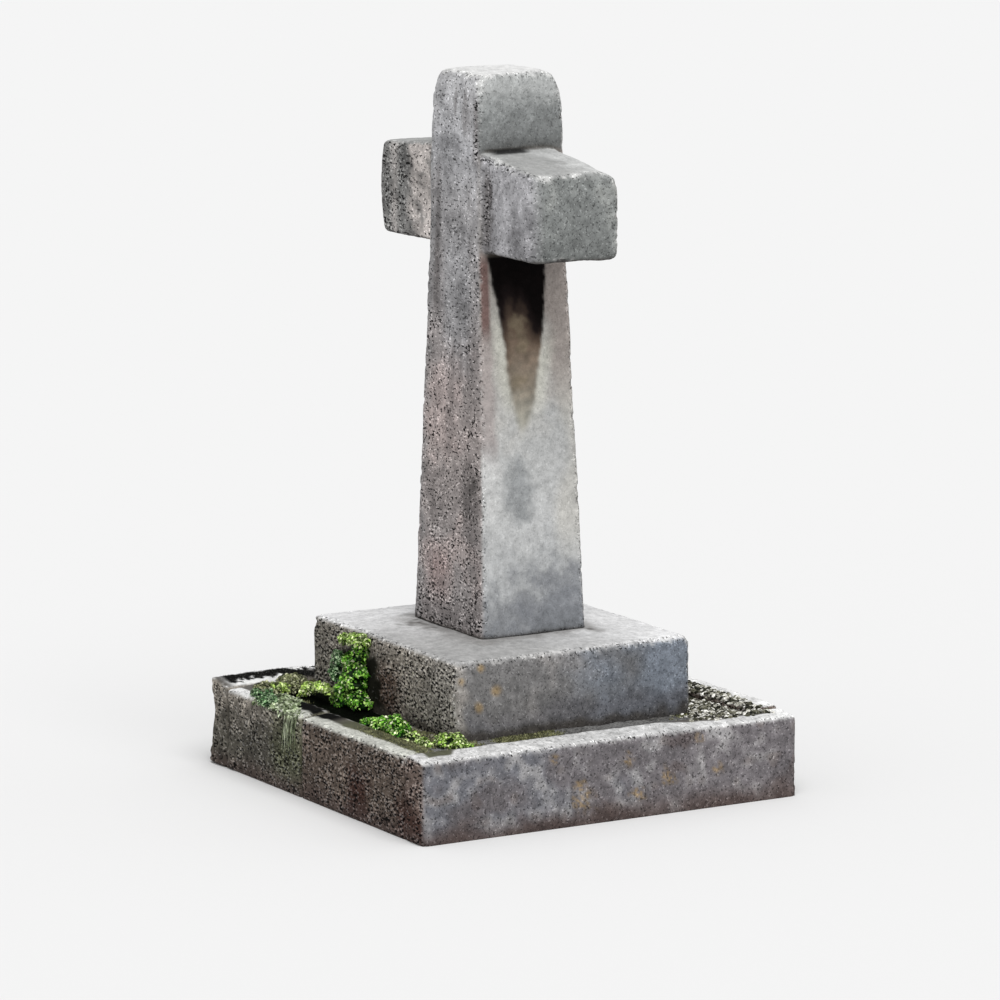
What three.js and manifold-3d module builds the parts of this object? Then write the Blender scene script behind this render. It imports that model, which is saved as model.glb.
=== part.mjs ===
// Wayside stone cross: a granite cross cut from one block, standing on a squared plinth. Round the
// plinth lies a bed of earth, held by a low kerb of long stones. Everything rests on level ground.
// Millimetres, +Z up, origin on the ground under the middle of the cross. The arms run along X.
import * as THREE from 'three';
import { mergeVertices } from 'three/addons/utils/BufferGeometryUtils.js';
import Module from 'manifold-3d';

const wasm = await Module();
wasm.setup();

// Kerb, measured outside. The rim of the near and front stones falls outwards, that of the left and
// back stones falls inwards, and the upper edges are worn round.
const KERB_LENGTH = 1406;
const KERB_WIDTH = 1362;
const KERB_HEIGHT = 270;
const KERB_THICK = 112;
const KERB_NEAR_FALL = 9;
const KERB_LEFT_FALL = -13;
const KERB_BACK_FALL = -6;
const KERB_OUTER_WEAR = 16;
const KERB_INNER_WEAR = 9;
const KERB_CORNER_WEAR = 20;
const KERB_JOINT = 5;
const FRONT_JOINT_X = -85;

// Earth between the kerb and the plinth.
const EARTH_TOP = 254;
const EARTH_GAP = 0.5;

// Plinth: the cross stands on the level middle of its top, which falls from there to the edges.
const PLINTH_LENGTH = 930;
const PLINTH_WIDTH = 854;
const PLINTH_SEAT = 510;
const PLINTH_FALL = 9;
const PLINTH_WEAR = 13;
const PLINTH_LEVEL_SHARE = 0.55;

// Shaft and head: length along X and width along Y at three heights.
const SHAFT_FOOT = { z: PLINTH_SEAT, length: 446, width: 380 };
const SHAFT_NECK = { z: 1735, length: 314, width: 322 };
const HEAD_TOP = { z: 2274, length: 293, width: 309 };
const CROWN_RISE = 18;
const SHAFT_ARRIS = 12;
const HEAD_SHARP_WEAR = 26;
const HEAD_ROUND_WEAR = 54;
const HEAD_SHARP_DROP = 30;
const HEAD_ROUND_DROP = 108;

// Arms: one bar through the head of the shaft, set back a little from its faces. The top falls to
// both ends, which bow out, and the weather has rounded its back edge and its front end corners, the
// near one (+X) most. The far arm is a little deeper than the near one.
const ARM_SPAN = 968;
const ARM_WIDTH = 298;
const ARM_UNDER = 1732;
const ARM_TOP = 2046;
const ARM_END_FALL = 33;
const ARM_TILT = 8;
const ARM_ARRIS = 11;
const ARM_END_WEAR = 20;
const NEAR_END_BOW = 10;
const FAR_END_BOW = 22;
const NEAR_CORNER_WEAR = 44;
const FAR_CORNER_WEAR = 22;
const FAR_ARM_SAG = 6;
const ARM_BACK_WEAR = 54;

const STONE_COLOURS = {
  cross: '#8d8c89',
  plinth: '#85848a',
  kerb_right: '#827e80',
  kerb_front_right: '#7a706b',
  kerb_front_left: '#6c6862',
  kerb_left: '#757370',
  kerb_back: '#7b7977',
};
const EARTH_COLOUR = '#4b4438';
const STONE_ROUGHNESS = 0.9;
const EARTH_ROUGHNESS = 1;

// Grid cells of the hewn blocks along X, Y and Z, and the share of them, from each end, that the
// rounded edges take.
const SHAFT_CELLS = [8, 8, 16];
const SHAFT_SHARE = [0.5, 0.5, 0.375];
const ARM_CELLS = [16, 8, 8];
const ARM_SHARE = [0.25, 0.5, 0.5];
const PLINTH_CELLS = [16, 16, 8];
const PLINTH_SHARE = [0.25, 0.25, 0.5];

const { clamp, lerp } = THREE.MathUtils;
const AXES = ['x', 'y', 'z'];

// Closed solid for cutting and joining, from a geometry in part coordinates.
function toSolid(geometry) {
  const bare = geometry.clone();
  bare.deleteAttribute('normal');
  bare.deleteAttribute('uv');
  const merged = mergeVertices(bare);
  return new wasm.Manifold(new wasm.Mesh({
    numProp: 3,
    vertProperties: Float32Array.from(merged.attributes.position.array),
    triVerts: Uint32Array.from(merged.index.array),
  }));
}

function toGeometry(solid) {
  const mesh = solid.getMesh();
  const geometry = new THREE.BufferGeometry();
  geometry.setAttribute('position', new THREE.BufferAttribute(mesh.vertProperties, 3));
  geometry.setIndex(new THREE.BufferAttribute(mesh.triVerts, 1));
  geometry.computeVertexNormals();
  return geometry;
}

function makePiece(name, geometry, color, roughness) {
  const material = new THREE.MeshStandardMaterial({ color, roughness, metalness: 0 });
  const piece = new THREE.Mesh(geometry, material);
  piece.name = name;
  return piece;
}

const makeStone = (name, geometry) => makePiece(name, geometry, STONE_COLOURS[name], STONE_ROUGHNESS);

// Block whose faces are grids: every grid point of a cube from -1 to 1 is moved by place.
function gridBlock(cells, place) {
  const cube = new THREE.BoxGeometry(2, 2, 2, ...cells);
  cube.deleteAttribute('normal');
  cube.deleteAttribute('uv');
  const block = mergeVertices(cube);
  const position = block.attributes.position;
  const unit = new THREE.Vector3();
  for (let i = 0; i < position.count; i += 1) {
    unit.fromBufferAttribute(position, i);
    position.setXYZ(i, ...place(unit));
  }
  block.computeVertexNormals();
  return block;
}

// How far round an edge a grid point lies: 0 on the flat, 1 on the next face.
function roundTurn(reach, share) {
  return share > 0 ? clamp((reach - 1 + share) / share, 0, 1) : 0;
}

// Moves a point of that cube to a block with rounded edges. The roundings take the given share of
// the grid along each axis, and an axis with no share keeps a sharp edge.
function roundEdges(unit, half, radius, share) {
  const core = new THREE.Vector3();
  const turn = new THREE.Vector3();
  for (const axis of AXES) {
    const reach = Math.abs(unit[axis]);
    core[axis] = (half[axis] - radius[axis]) * Math.min(1, reach / (1 - share[axis]));
    turn[axis] = Math.tan((Math.PI / 4) * roundTurn(reach, share[axis]));
  }
  const far = Math.max(turn.x, turn.y, turn.z);
  if (far > 0) turn.multiplyScalar(far / turn.length());
  const along = (axis) => Math.sign(unit[axis]) * (core[axis] + radius[axis] * turn[axis]);
  return new THREE.Vector3(along('x'), along('y'), along('z'));
}

// Tapering shaft with its head, as half sizes at a height.
function shaftHalf(z) {
  const [low, high] = z < SHAFT_NECK.z ? [SHAFT_FOOT, SHAFT_NECK] : [SHAFT_NECK, HEAD_TOP];
  const rise = (z - low.z) / (high.z - low.z);
  return { x: lerp(low.length, high.length, rise) / 2, y: lerp(low.width, high.width, rise) / 2 };
}

// The head is worn most along its left and back edges, and least at its front right corner.
function shaftPoint(unit) {
  const share = new THREE.Vector3(...SHAFT_SHARE);
  if (unit.z <= 0) share.z = 0;
  const height = HEAD_TOP.z - SHAFT_FOOT.z;
  const half = new THREE.Vector3(SHAFT_FOOT.length / 2, SHAFT_FOOT.width / 2, height / 2);
  const topWear = roundTurn(unit.z, share.z);
  const wornSide = Math.max(1 - unit.x, 1 + unit.y) / 2;
  const radius = new THREE.Vector3(
    lerp(SHAFT_ARRIS, unit.x < 0 ? HEAD_ROUND_WEAR : HEAD_SHARP_WEAR, topWear),
    lerp(SHAFT_ARRIS, unit.y > 0 ? HEAD_ROUND_WEAR : HEAD_SHARP_WEAR, topWear),
    unit.z > 0 ? lerp(HEAD_SHARP_DROP, HEAD_ROUND_DROP, wornSide) : 0,
  );
  const point = roundEdges(unit, half, radius, share);
  const z = point.z + half.z + SHAFT_FOOT.z;
  const section = shaftHalf(z);
  const crown = unit.z > 0.99 ? CROWN_RISE * (1 - unit.x ** 2) * (1 - unit.y ** 2) : 0;
  return [point.x * section.x / half.x, point.y * section.y / half.y, z + crown];
}

function armPoint(unit) {
  const share = new THREE.Vector3(...ARM_SHARE);
  const half = new THREE.Vector3(ARM_SPAN / 2, ARM_WIDTH / 2, (ARM_TOP - ARM_UNDER) / 2);
  const atEnd = roundTurn(Math.abs(unit.x), share.x);
  const backWear = unit.y > 0 ? Math.max(0, unit.z) : 0;
  const endCorner = unit.y < 0 ? atEnd : 0;
  const cornerWear = unit.x > 0 ? NEAR_CORNER_WEAR : FAR_CORNER_WEAR;
  const radius = new THREE.Vector3(
    unit.y < 0 ? cornerWear : ARM_END_WEAR,
    lerp(lerp(ARM_ARRIS, ARM_BACK_WEAR, backWear), cornerWear, endCorner),
    unit.z > 0 ? lerp(ARM_ARRIS, ARM_BACK_WEAR, backWear) : ARM_ARRIS,
  );
  const point = roundEdges(unit, half, radius, share);
  const root = SHAFT_NECK.length / 2;
  const out = clamp((Math.abs(point.x) - root) / (half.x - root), 0, 1);
  const height = point.z / half.z;
  const fall = (ARM_END_FALL * out + ARM_TILT * point.x / half.x) * (height + 1) / 2;
  const bow = (point.x > 0 ? NEAR_END_BOW : -FAR_END_BOW) * out * (1 - height ** 2);
  const sag = point.x < 0 ? FAR_ARM_SAG * out * (1 - height) / 2 : 0;
  return [point.x + bow, point.y, point.z + half.z + ARM_UNDER - fall - sag];
}

function makeCross() {
  const shaft = toSolid(gridBlock(SHAFT_CELLS, shaftPoint));
  const arms = toSolid(gridBlock(ARM_CELLS, armPoint));
  return makeStone('cross', toGeometry(shaft.add(arms)));
}

// The top keeps level under the foot of the shaft and falls evenly from there to the edges.
function plinthPoint(unit) {
  const share = new THREE.Vector3(...PLINTH_SHARE);
  if (unit.z <= 0) share.z = 0;
  const half = new THREE.Vector3(PLINTH_LENGTH / 2, PLINTH_WIDTH / 2, PLINTH_SEAT / 2);
  const radius = new THREE.Vector3(PLINTH_WEAR, PLINTH_WEAR, unit.z > 0 ? PLINTH_WEAR : 0);
  const point = roundEdges(unit, half, radius, share);
  const out = Math.max(Math.abs(point.x) / half.x, Math.abs(point.y) / half.y);
  const slope = clamp((out - PLINTH_LEVEL_SHARE) / (1 - PLINTH_LEVEL_SHARE), 0, 1);
  const fall = unit.z > 0 ? PLINTH_FALL * slope : 0;
  return [point.x, point.y, point.z + half.z - fall];
}

const makePlinth = () => makeStone('plinth', gridBlock(PLINTH_CELLS, plinthPoint));

// Section of a kerb stone: x runs from the outer face inwards and y upwards. The fall of the rim is
// from its inner to its outer edge.
function kerbSection(fall) {
  const outerTop = KERB_HEIGHT - fall;
  const section = new THREE.Shape();
  section.moveTo(0, 0);
  section.lineTo(KERB_THICK, 0);
  section.lineTo(KERB_THICK, KERB_HEIGHT - KERB_INNER_WEAR);
  section.quadraticCurveTo(KERB_THICK, KERB_HEIGHT, KERB_THICK - KERB_INNER_WEAR, KERB_HEIGHT);
  section.lineTo(KERB_OUTER_WEAR, outerTop);
  section.quadraticCurveTo(0, outerTop, 0, outerTop - KERB_OUTER_WEAR);
  section.closePath();
  return section;
}

const extrude = (shape, depth) => new THREE.ExtrudeGeometry(shape, {
  depth,
  bevelEnabled: false,
  curveSegments: 5,
});

// Kerb stone lying along X from 0, with its outer face at y = 0.
function kerbStone(length, fall) {
  const stone = extrude(kerbSection(fall), length);
  const layDown = new THREE.Matrix4().makeBasis(
    new THREE.Vector3(0, 1, 0),
    new THREE.Vector3(0, 0, 1),
    new THREE.Vector3(1, 0, 0),
  );
  return stone.applyMatrix4(layDown);
}

// The stones of the two ends turn the corners of the plot, so their outer upright edges are worn.
function cornerKerbStone(length, fall) {
  const plan = new THREE.Shape();
  plan.moveTo(KERB_CORNER_WEAR, 0);
  plan.lineTo(length - KERB_CORNER_WEAR, 0);
  plan.quadraticCurveTo(length, 0, length, KERB_CORNER_WEAR);
  plan.lineTo(length, KERB_THICK);
  plan.lineTo(0, KERB_THICK);
  plan.lineTo(0, KERB_CORNER_WEAR);
  plan.quadraticCurveTo(0, 0, KERB_CORNER_WEAR, 0);
  const column = toSolid(extrude(plan, KERB_HEIGHT + Math.abs(fall)));
  return toGeometry(toSolid(kerbStone(length, fall)).intersect(column));
}

// Stones between the corner stones lie along X, the back one turned about to face outwards.
function makeKerb() {
  const kerb = new THREE.Group();
  const halfLength = KERB_LENGTH / 2;
  const halfWidth = KERB_WIDTH / 2;
  const between = KERB_LENGTH - 2 * (KERB_THICK + KERB_JOINT);

  const right = makeStone('kerb_right', cornerKerbStone(KERB_WIDTH, KERB_NEAR_FALL));
  right.rotation.z = Math.PI / 2;
  right.position.set(halfLength, -halfWidth, 0);

  const left = makeStone('kerb_left', cornerKerbStone(KERB_WIDTH, KERB_LEFT_FALL));
  left.rotation.z = -Math.PI / 2;
  left.position.set(-halfLength, halfWidth, 0);

  const jointLeft = FRONT_JOINT_X - KERB_JOINT / 2;
  const leftLength = jointLeft + between / 2;
  const frontLeft = makeStone('kerb_front_left', kerbStone(leftLength, KERB_NEAR_FALL));
  frontLeft.position.set(-between / 2, -halfWidth, 0);

  const jointRight = FRONT_JOINT_X + KERB_JOINT / 2;
  const rightLength = between / 2 - jointRight;
  const frontRight = makeStone('kerb_front_right', kerbStone(rightLength, KERB_NEAR_FALL));
  frontRight.position.set(jointRight, -halfWidth, 0);

  const back = makeStone('kerb_back', kerbStone(between, KERB_BACK_FALL));
  back.rotation.z = Math.PI;
  back.position.set(between / 2, halfWidth, 0);

  kerb.add(right, left, frontLeft, frontRight, back);
  return kerb;
}

function traceRectangle(path, length, width) {
  path.moveTo(-length / 2, -width / 2);
  path.lineTo(length / 2, -width / 2);
  path.lineTo(length / 2, width / 2);
  path.lineTo(-length / 2, width / 2);
  path.closePath();
  return path;
}

function makeEarthBed() {
  const gaps = 2 * EARTH_GAP;
  const walls = 2 * KERB_THICK + gaps;
  const plan = traceRectangle(new THREE.Shape(), KERB_LENGTH - walls, KERB_WIDTH - walls);
  const plinthHole = traceRectangle(new THREE.Path(), PLINTH_LENGTH + gaps, PLINTH_WIDTH + gaps);
  plan.holes.push(plinthHole);
  return makePiece('earth_bed', extrude(plan, EARTH_TOP), EARTH_COLOUR, EARTH_ROUGHNESS);
}

const memorial = new THREE.Group();
memorial.add(makeCross(), makePlinth(), makeKerb(), makeEarthBed());

export default memorial;
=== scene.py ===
# Wayside stone cross on a squared plinth. A low kerb of long stones holds a bed of earth round the
# plinth, where weeds, grass and moss have settled. Metres, +Z up. The front is -Y, and the arms run
# along X. Colours are linear, as a stone reflects them.
import math

import bmesh
import bpy
import numpy as np
from mathutils import Matrix, Vector, noise


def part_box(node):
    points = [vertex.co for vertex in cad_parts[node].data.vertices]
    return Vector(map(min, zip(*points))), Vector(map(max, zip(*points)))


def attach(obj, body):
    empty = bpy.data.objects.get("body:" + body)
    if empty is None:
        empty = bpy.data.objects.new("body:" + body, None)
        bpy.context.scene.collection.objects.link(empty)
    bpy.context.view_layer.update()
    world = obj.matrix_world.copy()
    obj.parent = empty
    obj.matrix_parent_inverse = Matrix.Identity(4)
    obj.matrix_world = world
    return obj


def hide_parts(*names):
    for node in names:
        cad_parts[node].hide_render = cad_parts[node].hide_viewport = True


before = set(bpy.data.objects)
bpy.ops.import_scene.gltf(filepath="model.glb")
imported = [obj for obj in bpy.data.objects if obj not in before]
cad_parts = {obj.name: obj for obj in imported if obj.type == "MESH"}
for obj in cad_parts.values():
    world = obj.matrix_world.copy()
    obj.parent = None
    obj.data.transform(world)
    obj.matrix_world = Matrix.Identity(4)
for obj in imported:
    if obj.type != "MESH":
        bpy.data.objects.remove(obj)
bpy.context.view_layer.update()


# Plinth: one squared block of coarse grey granite, dressed with a pick, that carries the cross and
# stands in the earth by its weight. Rain keeps its top pale, and a painted sheen makes it paler still.
# Soot and algae have darkened its front, where the climbing weed's shadow is painted beside the weed,
# and dirt and painted shade darken its foot and its top round the shaft. Its near side has a blue-grey
# bloom with faint spots of ochre lichen.
PLINTH_CELL = 0.008
SWELL_SIZE = 0.24
LUMP_SIZE = 0.055
GRAIN_SIZE = 0.014
CHIP_SIZE = 0.022
CRUST = 0.0012
FOOT_KEPT = 0.012
EDGE_PASSES = 8
SEED_STEP = 31.7
FACE_SHARPNESS = 2.5
CRYSTALS_A_METRE = 180
GRAIN_EDGE = 0.03
CRUST_PATCHES_A_METRE = 42
PICK_HOLES_A_METRE = 90
PICK_HOLE_REACH = 0.4
PICK_HOLE_EDGE = 0.05
HOLE_LIP_REACH = 0.3
HOLE_LIP_SHIFT = (0.002, 0.003, -0.006)
SPECK_SHIFT = (3.1, 1.7, 5.3)
STONE_SHINE = 0.05
STONE_BUMP = 0.7
PLINTH_LOW, PLINTH_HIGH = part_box("plinth")
SHAFT_FOOT_HALF = (0.223, 0.19)
# Pale chips on the edges, together with painted glints of light.
PALE_CHIP_AND_GLINT = (0.8, 0.79, 0.77)
# Dark damp dirt, also used as painted shade in concave corners and at the feet of the stones.
DAMP_DIRT_AND_SHADE = (0.055, 0.048, 0.04)
OCHRE_LICHEN = (0.33, 0.225, 0.095)
# Pale top of the plinth: bleached stone with a painted sheen.
PLINTH_TOP_PALE_AND_SHEEN = (0.745, 0.745, 0.75)
PLINTH_TOP_NEAR = (0.38, 0.378, 0.375)
# Darker ring on the top round the foot of the shaft: painted contact shade with some dirt.
PLINTH_TOP_DIRT_AND_SHADE = (0.27, 0.262, 0.255)
PLINTH_FRONT = (0.25, 0.225, 0.194)
PLINTH_FRONT_PALE = (0.27, 0.258, 0.236)
PLINTH_FRONT_DARK = (0.13, 0.125, 0.11)
PLINTH_FRONT_STAIN = (0.075, 0.048, 0.035)
WEED_SHADE = (0.003, 0.004, 0.002)
PLINTH_SIDE_GREY = (0.188, 0.184, 0.183)
PLINTH_SIDE_BLUE = (0.178, 0.2, 0.234)
PLINTH_SIDE_WARM = (0.26, 0.232, 0.205)
PLINTH_SIDE_DAMP = (0.125, 0.123, 0.135)
PLINTH_CORNER_PALE = (0.36, 0.335, 0.31)
PLINTH_BACK = (0.22, 0.213, 0.203)
PLINTH_BACK_PALE = (0.3, 0.293, 0.28)
# Lichen spots as (across, up, radius) on the near side.
PLINTH_LICHEN = (
    (-0.284, 0.399, 0.02), (-0.345, 0.355, 0.017), (-0.337, 0.481, 0.012), (-0.405, 0.445, 0.014),
)
# Loose dirt on the top as (x, y, radius).
PLINTH_LITTER = ((-0.2, -0.215, 0.035), (-0.13, -0.235, 0.05), (-0.06, -0.225, 0.035), (0.25, 0.2, 0.025))


def read_rows(items, field, width, kind=np.float32):
    """One field of many mesh items, in rows of so many numbers."""
    flat = np.empty(len(items) * width, kind)
    items.foreach_get(field, flat)
    return flat.reshape(-1, width)


def read_points(mesh):
    return read_rows(mesh.vertices, "co", 3).astype(float)


def write_points(mesh, points):
    mesh.vertices.foreach_set("co", points.astype(np.float32).ravel())
    mesh.update()


def read_normals(mesh):
    return read_rows(mesh.vertex_normals, "vector", 3).astype(float)


def show_object(name, data):
    shown = bpy.data.objects.new(name, data)
    bpy.context.scene.collection.objects.link(shown)
    return shown


def settle(shown):
    """Turns an object with its modifiers into one plain mesh."""
    evaluated = shown.evaluated_get(bpy.context.evaluated_depsgraph_get())
    shown.data = bpy.data.meshes.new_from_object(evaluated)
    shown.modifiers.clear()
    return shown


def hewn_copy(node, cell):
    """Copy of a solid with one even skin of small faces, which can be worn and painted."""
    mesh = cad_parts[node].data.copy()
    shell = bmesh.new()
    shell.from_mesh(mesh)
    bmesh.ops.remove_doubles(shell, verts=shell.verts, dist=1e-5)
    shell.to_mesh(mesh)
    shell.free()
    stone = show_object(node + "_worn", mesh)
    skin = stone.modifiers.new("even skin", "REMESH")
    skin.mode = "VOXEL"
    skin.voxel_size = cell
    settle(stone)
    stone.data.materials.clear()
    stone.data.shade_smooth()
    return stone


def ripple(points, size, seed):
    """Smooth unevenness from -1 to 1, with bumps about as wide as size."""
    shifted = points / size + SEED_STEP * seed
    return np.array([noise.noise(spot) for spot in shifted.tolist()])


def fade(value, start, end):
    """Smooth step from 0 at start to 1 at end, which may lie below start."""
    share = np.clip((value - start) / (end - start), 0, 1)
    return share * share * (3 - 2 * share)


def band(value, low, high, soft):
    """1 between low and high, falling to 0 over the soft margin round them."""
    return fade(value, low - soft, low + soft) * fade(value, high + soft, high - soft)


def smoothed(mesh, points):
    """The points of a mesh after its edges and corners are rubbed round."""
    first, second = read_rows(mesh.edges, "vertices", 2, np.int32).T
    total = len(points)
    count = np.bincount(first, minlength=total) + np.bincount(second, minlength=total)
    level = points.copy()
    for _ in range(EDGE_PASSES):
        for axis in range(3):
            along = level[:, axis]
            around = np.bincount(first, along[second], total) + np.bincount(second, along[first], total)
            level[:, axis] = around / count
    return level


def wear_stone(stone, seed, swell, lumps, grain, chips, rubbed, shaping=None):
    """Moves the skin of a stone in and out: the hewn swell, pick marks, grain and chipped edges, which
    are also rubbed round. Gives back the points and normals of the stone before it was worn, and how
    far each point stands out of its surroundings: above 0 on edges, below 0 in corners."""
    mesh = stone.data
    points, normals = read_points(mesh), read_normals(mesh)
    level = smoothed(mesh, points)
    edge = ((points - level) * normals).sum(1)
    push = CRUST + swell * ripple(points, SWELL_SIZE, seed) + lumps * ripple(points, LUMP_SIZE, seed + 1)
    push += grain * ripple(points, GRAIN_SIZE, seed + 2)
    push -= chips * fade(ripple(points, CHIP_SIZE, seed + 3), 0.15, 0.6) * fade(edge, 0.001, 0.004)
    if shaping:
        push += shaping(points, normals)
    moved = normals * push[:, None] + (level - points) * (rubbed * np.ones(len(points)))[:, None]
    kept = fade(points[:, 2], points[:, 2].min(), points[:, 2].min() + FOOT_KEPT)
    write_points(mesh, points + moved * kept[:, None])
    return points, normals, edge


def facing(normals):
    """Share of each point that belongs to the right, left, back, front, top and under faces."""
    parts = np.concatenate([np.clip(normals, 0, 1), np.clip(-normals, 0, 1)], 1) ** FACE_SHARPNESS
    parts /= parts.sum(1)[:, None]
    right, back, top, left, front, under = parts.T
    return right, left, back, front, top, under


def glaze(tone, *coats):
    """Lays coats over a tone in turn: each a colour or a second tone, and a mask of where it covers."""
    tone = np.array(tone, float)
    for colour, mask in coats:
        tone = tone + (np.array(colour) - tone) * mask[:, None]
    return tone


def by_height(heights, steps):
    """Colour that changes with height, from (height, colour) steps."""
    levels = [height for height, colour in steps]
    channels = np.transpose([colour for height, colour in steps])
    return np.stack([np.interp(heights, levels, channel) for channel in channels], 1)


def join_faces(shares, tones):
    return sum(share[:, None] * tone for share, tone in zip(shares, tones))


def spots(across, up, places, ragged, rim=1.3, core=0.3):
    """Round spots with ragged edges at (across, up, radius) places on a face."""
    mask = np.zeros(len(across))
    for spot_across, spot_up, radius in places:
        away = np.hypot(across - spot_across, up - spot_up) / radius
        mask = np.maximum(mask, fade(away + ragged, rim, core))
    return mask


def glints(points, edge, seed):
    """Small bright marks scattered along the edges of a stone: pale chips and painted glints of light."""
    return fade(edge, 0.0008, 0.003) * fade(ripple(points, 0.014, seed), 0.1, 0.5)


def keep_paint(mesh, tone, bare):
    """Stores the weathered colour of each point, and how plainly the bare crystals show there."""
    weather = mesh.attributes.new("weather", "FLOAT_COLOR", "POINT")
    rgba = np.concatenate([np.clip(tone, 0.001, 0.9), np.ones((len(tone), 1))], 1)
    weather.data.foreach_set("color", rgba.astype(np.float32).ravel())
    shown = mesh.attributes.new("bare", "FLOAT", "POINT")
    shown.data.foreach_set("value", np.clip(bare, 0, 1).astype(np.float32))


def wire(tree, node, inputs):
    """Links or sets the inputs of a node."""
    for key, value in inputs.items():
        if isinstance(value, bpy.types.NodeSocket):
            tree.links.new(value, node.inputs[key])
        else:
            node.inputs[key].default_value = value


def place(tree, kind, inputs=None, **settings):
    """Adds a node with its options and inputs."""
    node = tree.nodes.new(kind)
    for option, value in settings.items():
        setattr(node, option, value)
    wire(tree, node, inputs or {})
    return node


def calc(tree, operation, *values):
    return place(tree, "ShaderNodeMath", dict(enumerate(values)), operation=operation).outputs[0]


def vector_calc(tree, operation, inputs):
    return place(tree, "ShaderNodeVectorMath", inputs, operation=operation).outputs[0]


def remap(tree, value, low, high, to_low=0.0, to_high=1.0):
    """A value moved from one range to another and held at its ends."""
    ends = {0: value, 1: low, 2: high, 3: to_low, 4: to_high}
    return place(tree, "ShaderNodeMapRange", ends).outputs[0]


def mottle(tree, where, scale, detail, roughness=0.5):
    """Uneven level round 0.5, with about so many patches to a metre."""
    inputs = {"Vector": where, "Scale": scale, "Detail": detail, "Roughness": roughness}
    return place(tree, "ShaderNodeTexNoise", inputs).outputs["Fac"]


def grains(tree, where, scale, low):
    """Scattered uneven grains: 1 where a fine mottle rises above low, else 0."""
    return remap(tree, mottle(tree, where, scale, 1), low, calc(tree, "ADD", low, GRAIN_EDGE))


def pocks(tree, where, reach):
    """Round pick holes, one in each cell of a stone: 1 within reach of its middle, else 0."""
    cells = place(tree, "ShaderNodeTexVoronoi", {"Vector": where, "Scale": PICK_HOLES_A_METRE})
    return remap(tree, cells.outputs["Distance"], reach + PICK_HOLE_EDGE, reach - PICK_HOLE_EDGE)


def make_group(name, kind, inputs, outputs):
    """Empty node group, with the names of its sockets listed by kind."""
    group = bpy.data.node_groups.new(name, kind + "NodeTree")
    for side, listed in (("INPUT", inputs), ("OUTPUT", outputs)):
        for socket_kind, names in listed.items():
            for socket in names.split():
                group.interface.new_socket(socket, in_out=side, socket_type="NodeSocket" + socket_kind)
    return group, place(group, "NodeGroupInput").outputs, place(group, "NodeGroupOutput")


def make_granite_grain():
    """Fine crystals with open black pits, white feldspar grains and, on the barest stone, round holes
    left by the pick. Where Bare is low, a washed crust covers them."""
    group, given, result = make_group(
        "granite grain", "Shader",
        {"Vector": "Place", "Color": "Weather", "Float": "Bare Crystal Crust"},
        {"Color": "Color", "Float": "Roughness Height"},
    )
    bare = given["Bare"]

    def times(first, second):
        return calc(group, "MULTIPLY", first, second)

    def plus(value, factor, added):
        return calc(group, "MULTIPLY_ADD", value, factor, added)

    drawn = vector_calc(group, "MULTIPLY", {0: given["Place"], 1: (0.6, 1, 1)})
    grain = mottle(group, drawn, CRYSTALS_A_METRE, 3, 0.65)
    crust = mottle(group, given["Place"], CRUST_PATCHES_A_METRE, 4, 0.65)
    grain_share = plus(bare, 0.7, remap(group, bare, 0.8, 1.0, 0.4, 2.4))
    crust_share = times(given["Crust"], remap(group, bare, 0.05, 0.3, 0.5, 1.0))
    level = plus(calc(group, "SUBTRACT", grain, 0.5), grain_share, 1.0)
    level = plus(calc(group, "SUBTRACT", crust, 0.5), crust_share, level)
    scale = calc(group, "DIVIDE", 1.0, given["Crystal"])
    sparse = remap(group, bare, 0.6, 1.0, 0.62, 0.58)
    open_share = calc(group, "MINIMUM", times(bare, 1.4), 0.95)
    picked = remap(group, bare, 0.8, 1.0, 0.0, 0.95)
    pits = times(grains(group, drawn, scale, calc(group, "SUBTRACT", sparse, 0.005)), open_share)
    pits = calc(group, "MAXIMUM", pits, times(pocks(group, drawn, PICK_HOLE_REACH), picked))
    open_level = times(level, calc(group, "SUBTRACT", 1.0, pits))
    toned = vector_calc(group, "SCALE", {0: given["Weather"], "Scale": open_level})
    beside = vector_calc(group, "ADD", {0: drawn, 1: SPECK_SHIFT})
    lip = vector_calc(group, "ADD", {0: drawn, 1: HOLE_LIP_SHIFT})
    specks = times(grains(group, beside, scale, calc(group, "ADD", sparse, 0.035)), open_share)
    specks = calc(group, "MAXIMUM", specks, times(pocks(group, lip, HOLE_LIP_REACH), picked))
    lit = vector_calc(group, "MULTIPLY_ADD", {0: given["Weather"], 1: (0.65,) * 3, 2: (0.09,) * 3})
    bright = vector_calc(group, "MULTIPLY_ADD", {0: toned, 1: (1.2,) * 3, 2: lit})
    wire(group, result, {
        "Color": place(group, "ShaderNodeMix", {0: specks, 6: toned, 7: bright}, data_type="RGBA").outputs[2],
        "Roughness": plus(crust, 0.2, 0.76),
        "Height": times(plus(pits, -0.8, grain), plus(bare, 0.8, 0.2)),
    })
    return group


granite_grain = make_granite_grain()


def new_finish(name, shine, roughness=1):
    finish = bpy.data.materials.new(name)
    finish.use_nodes = True
    surface = finish.node_tree.nodes["Principled BSDF"]
    wire(finish.node_tree, surface, {"Specular IOR Level": shine, "Roughness": roughness})
    return finish, finish.node_tree, surface


def attribute(tree, name, output):
    return place(tree, "ShaderNodeAttribute", attribute_name=name).outputs[output]


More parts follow.
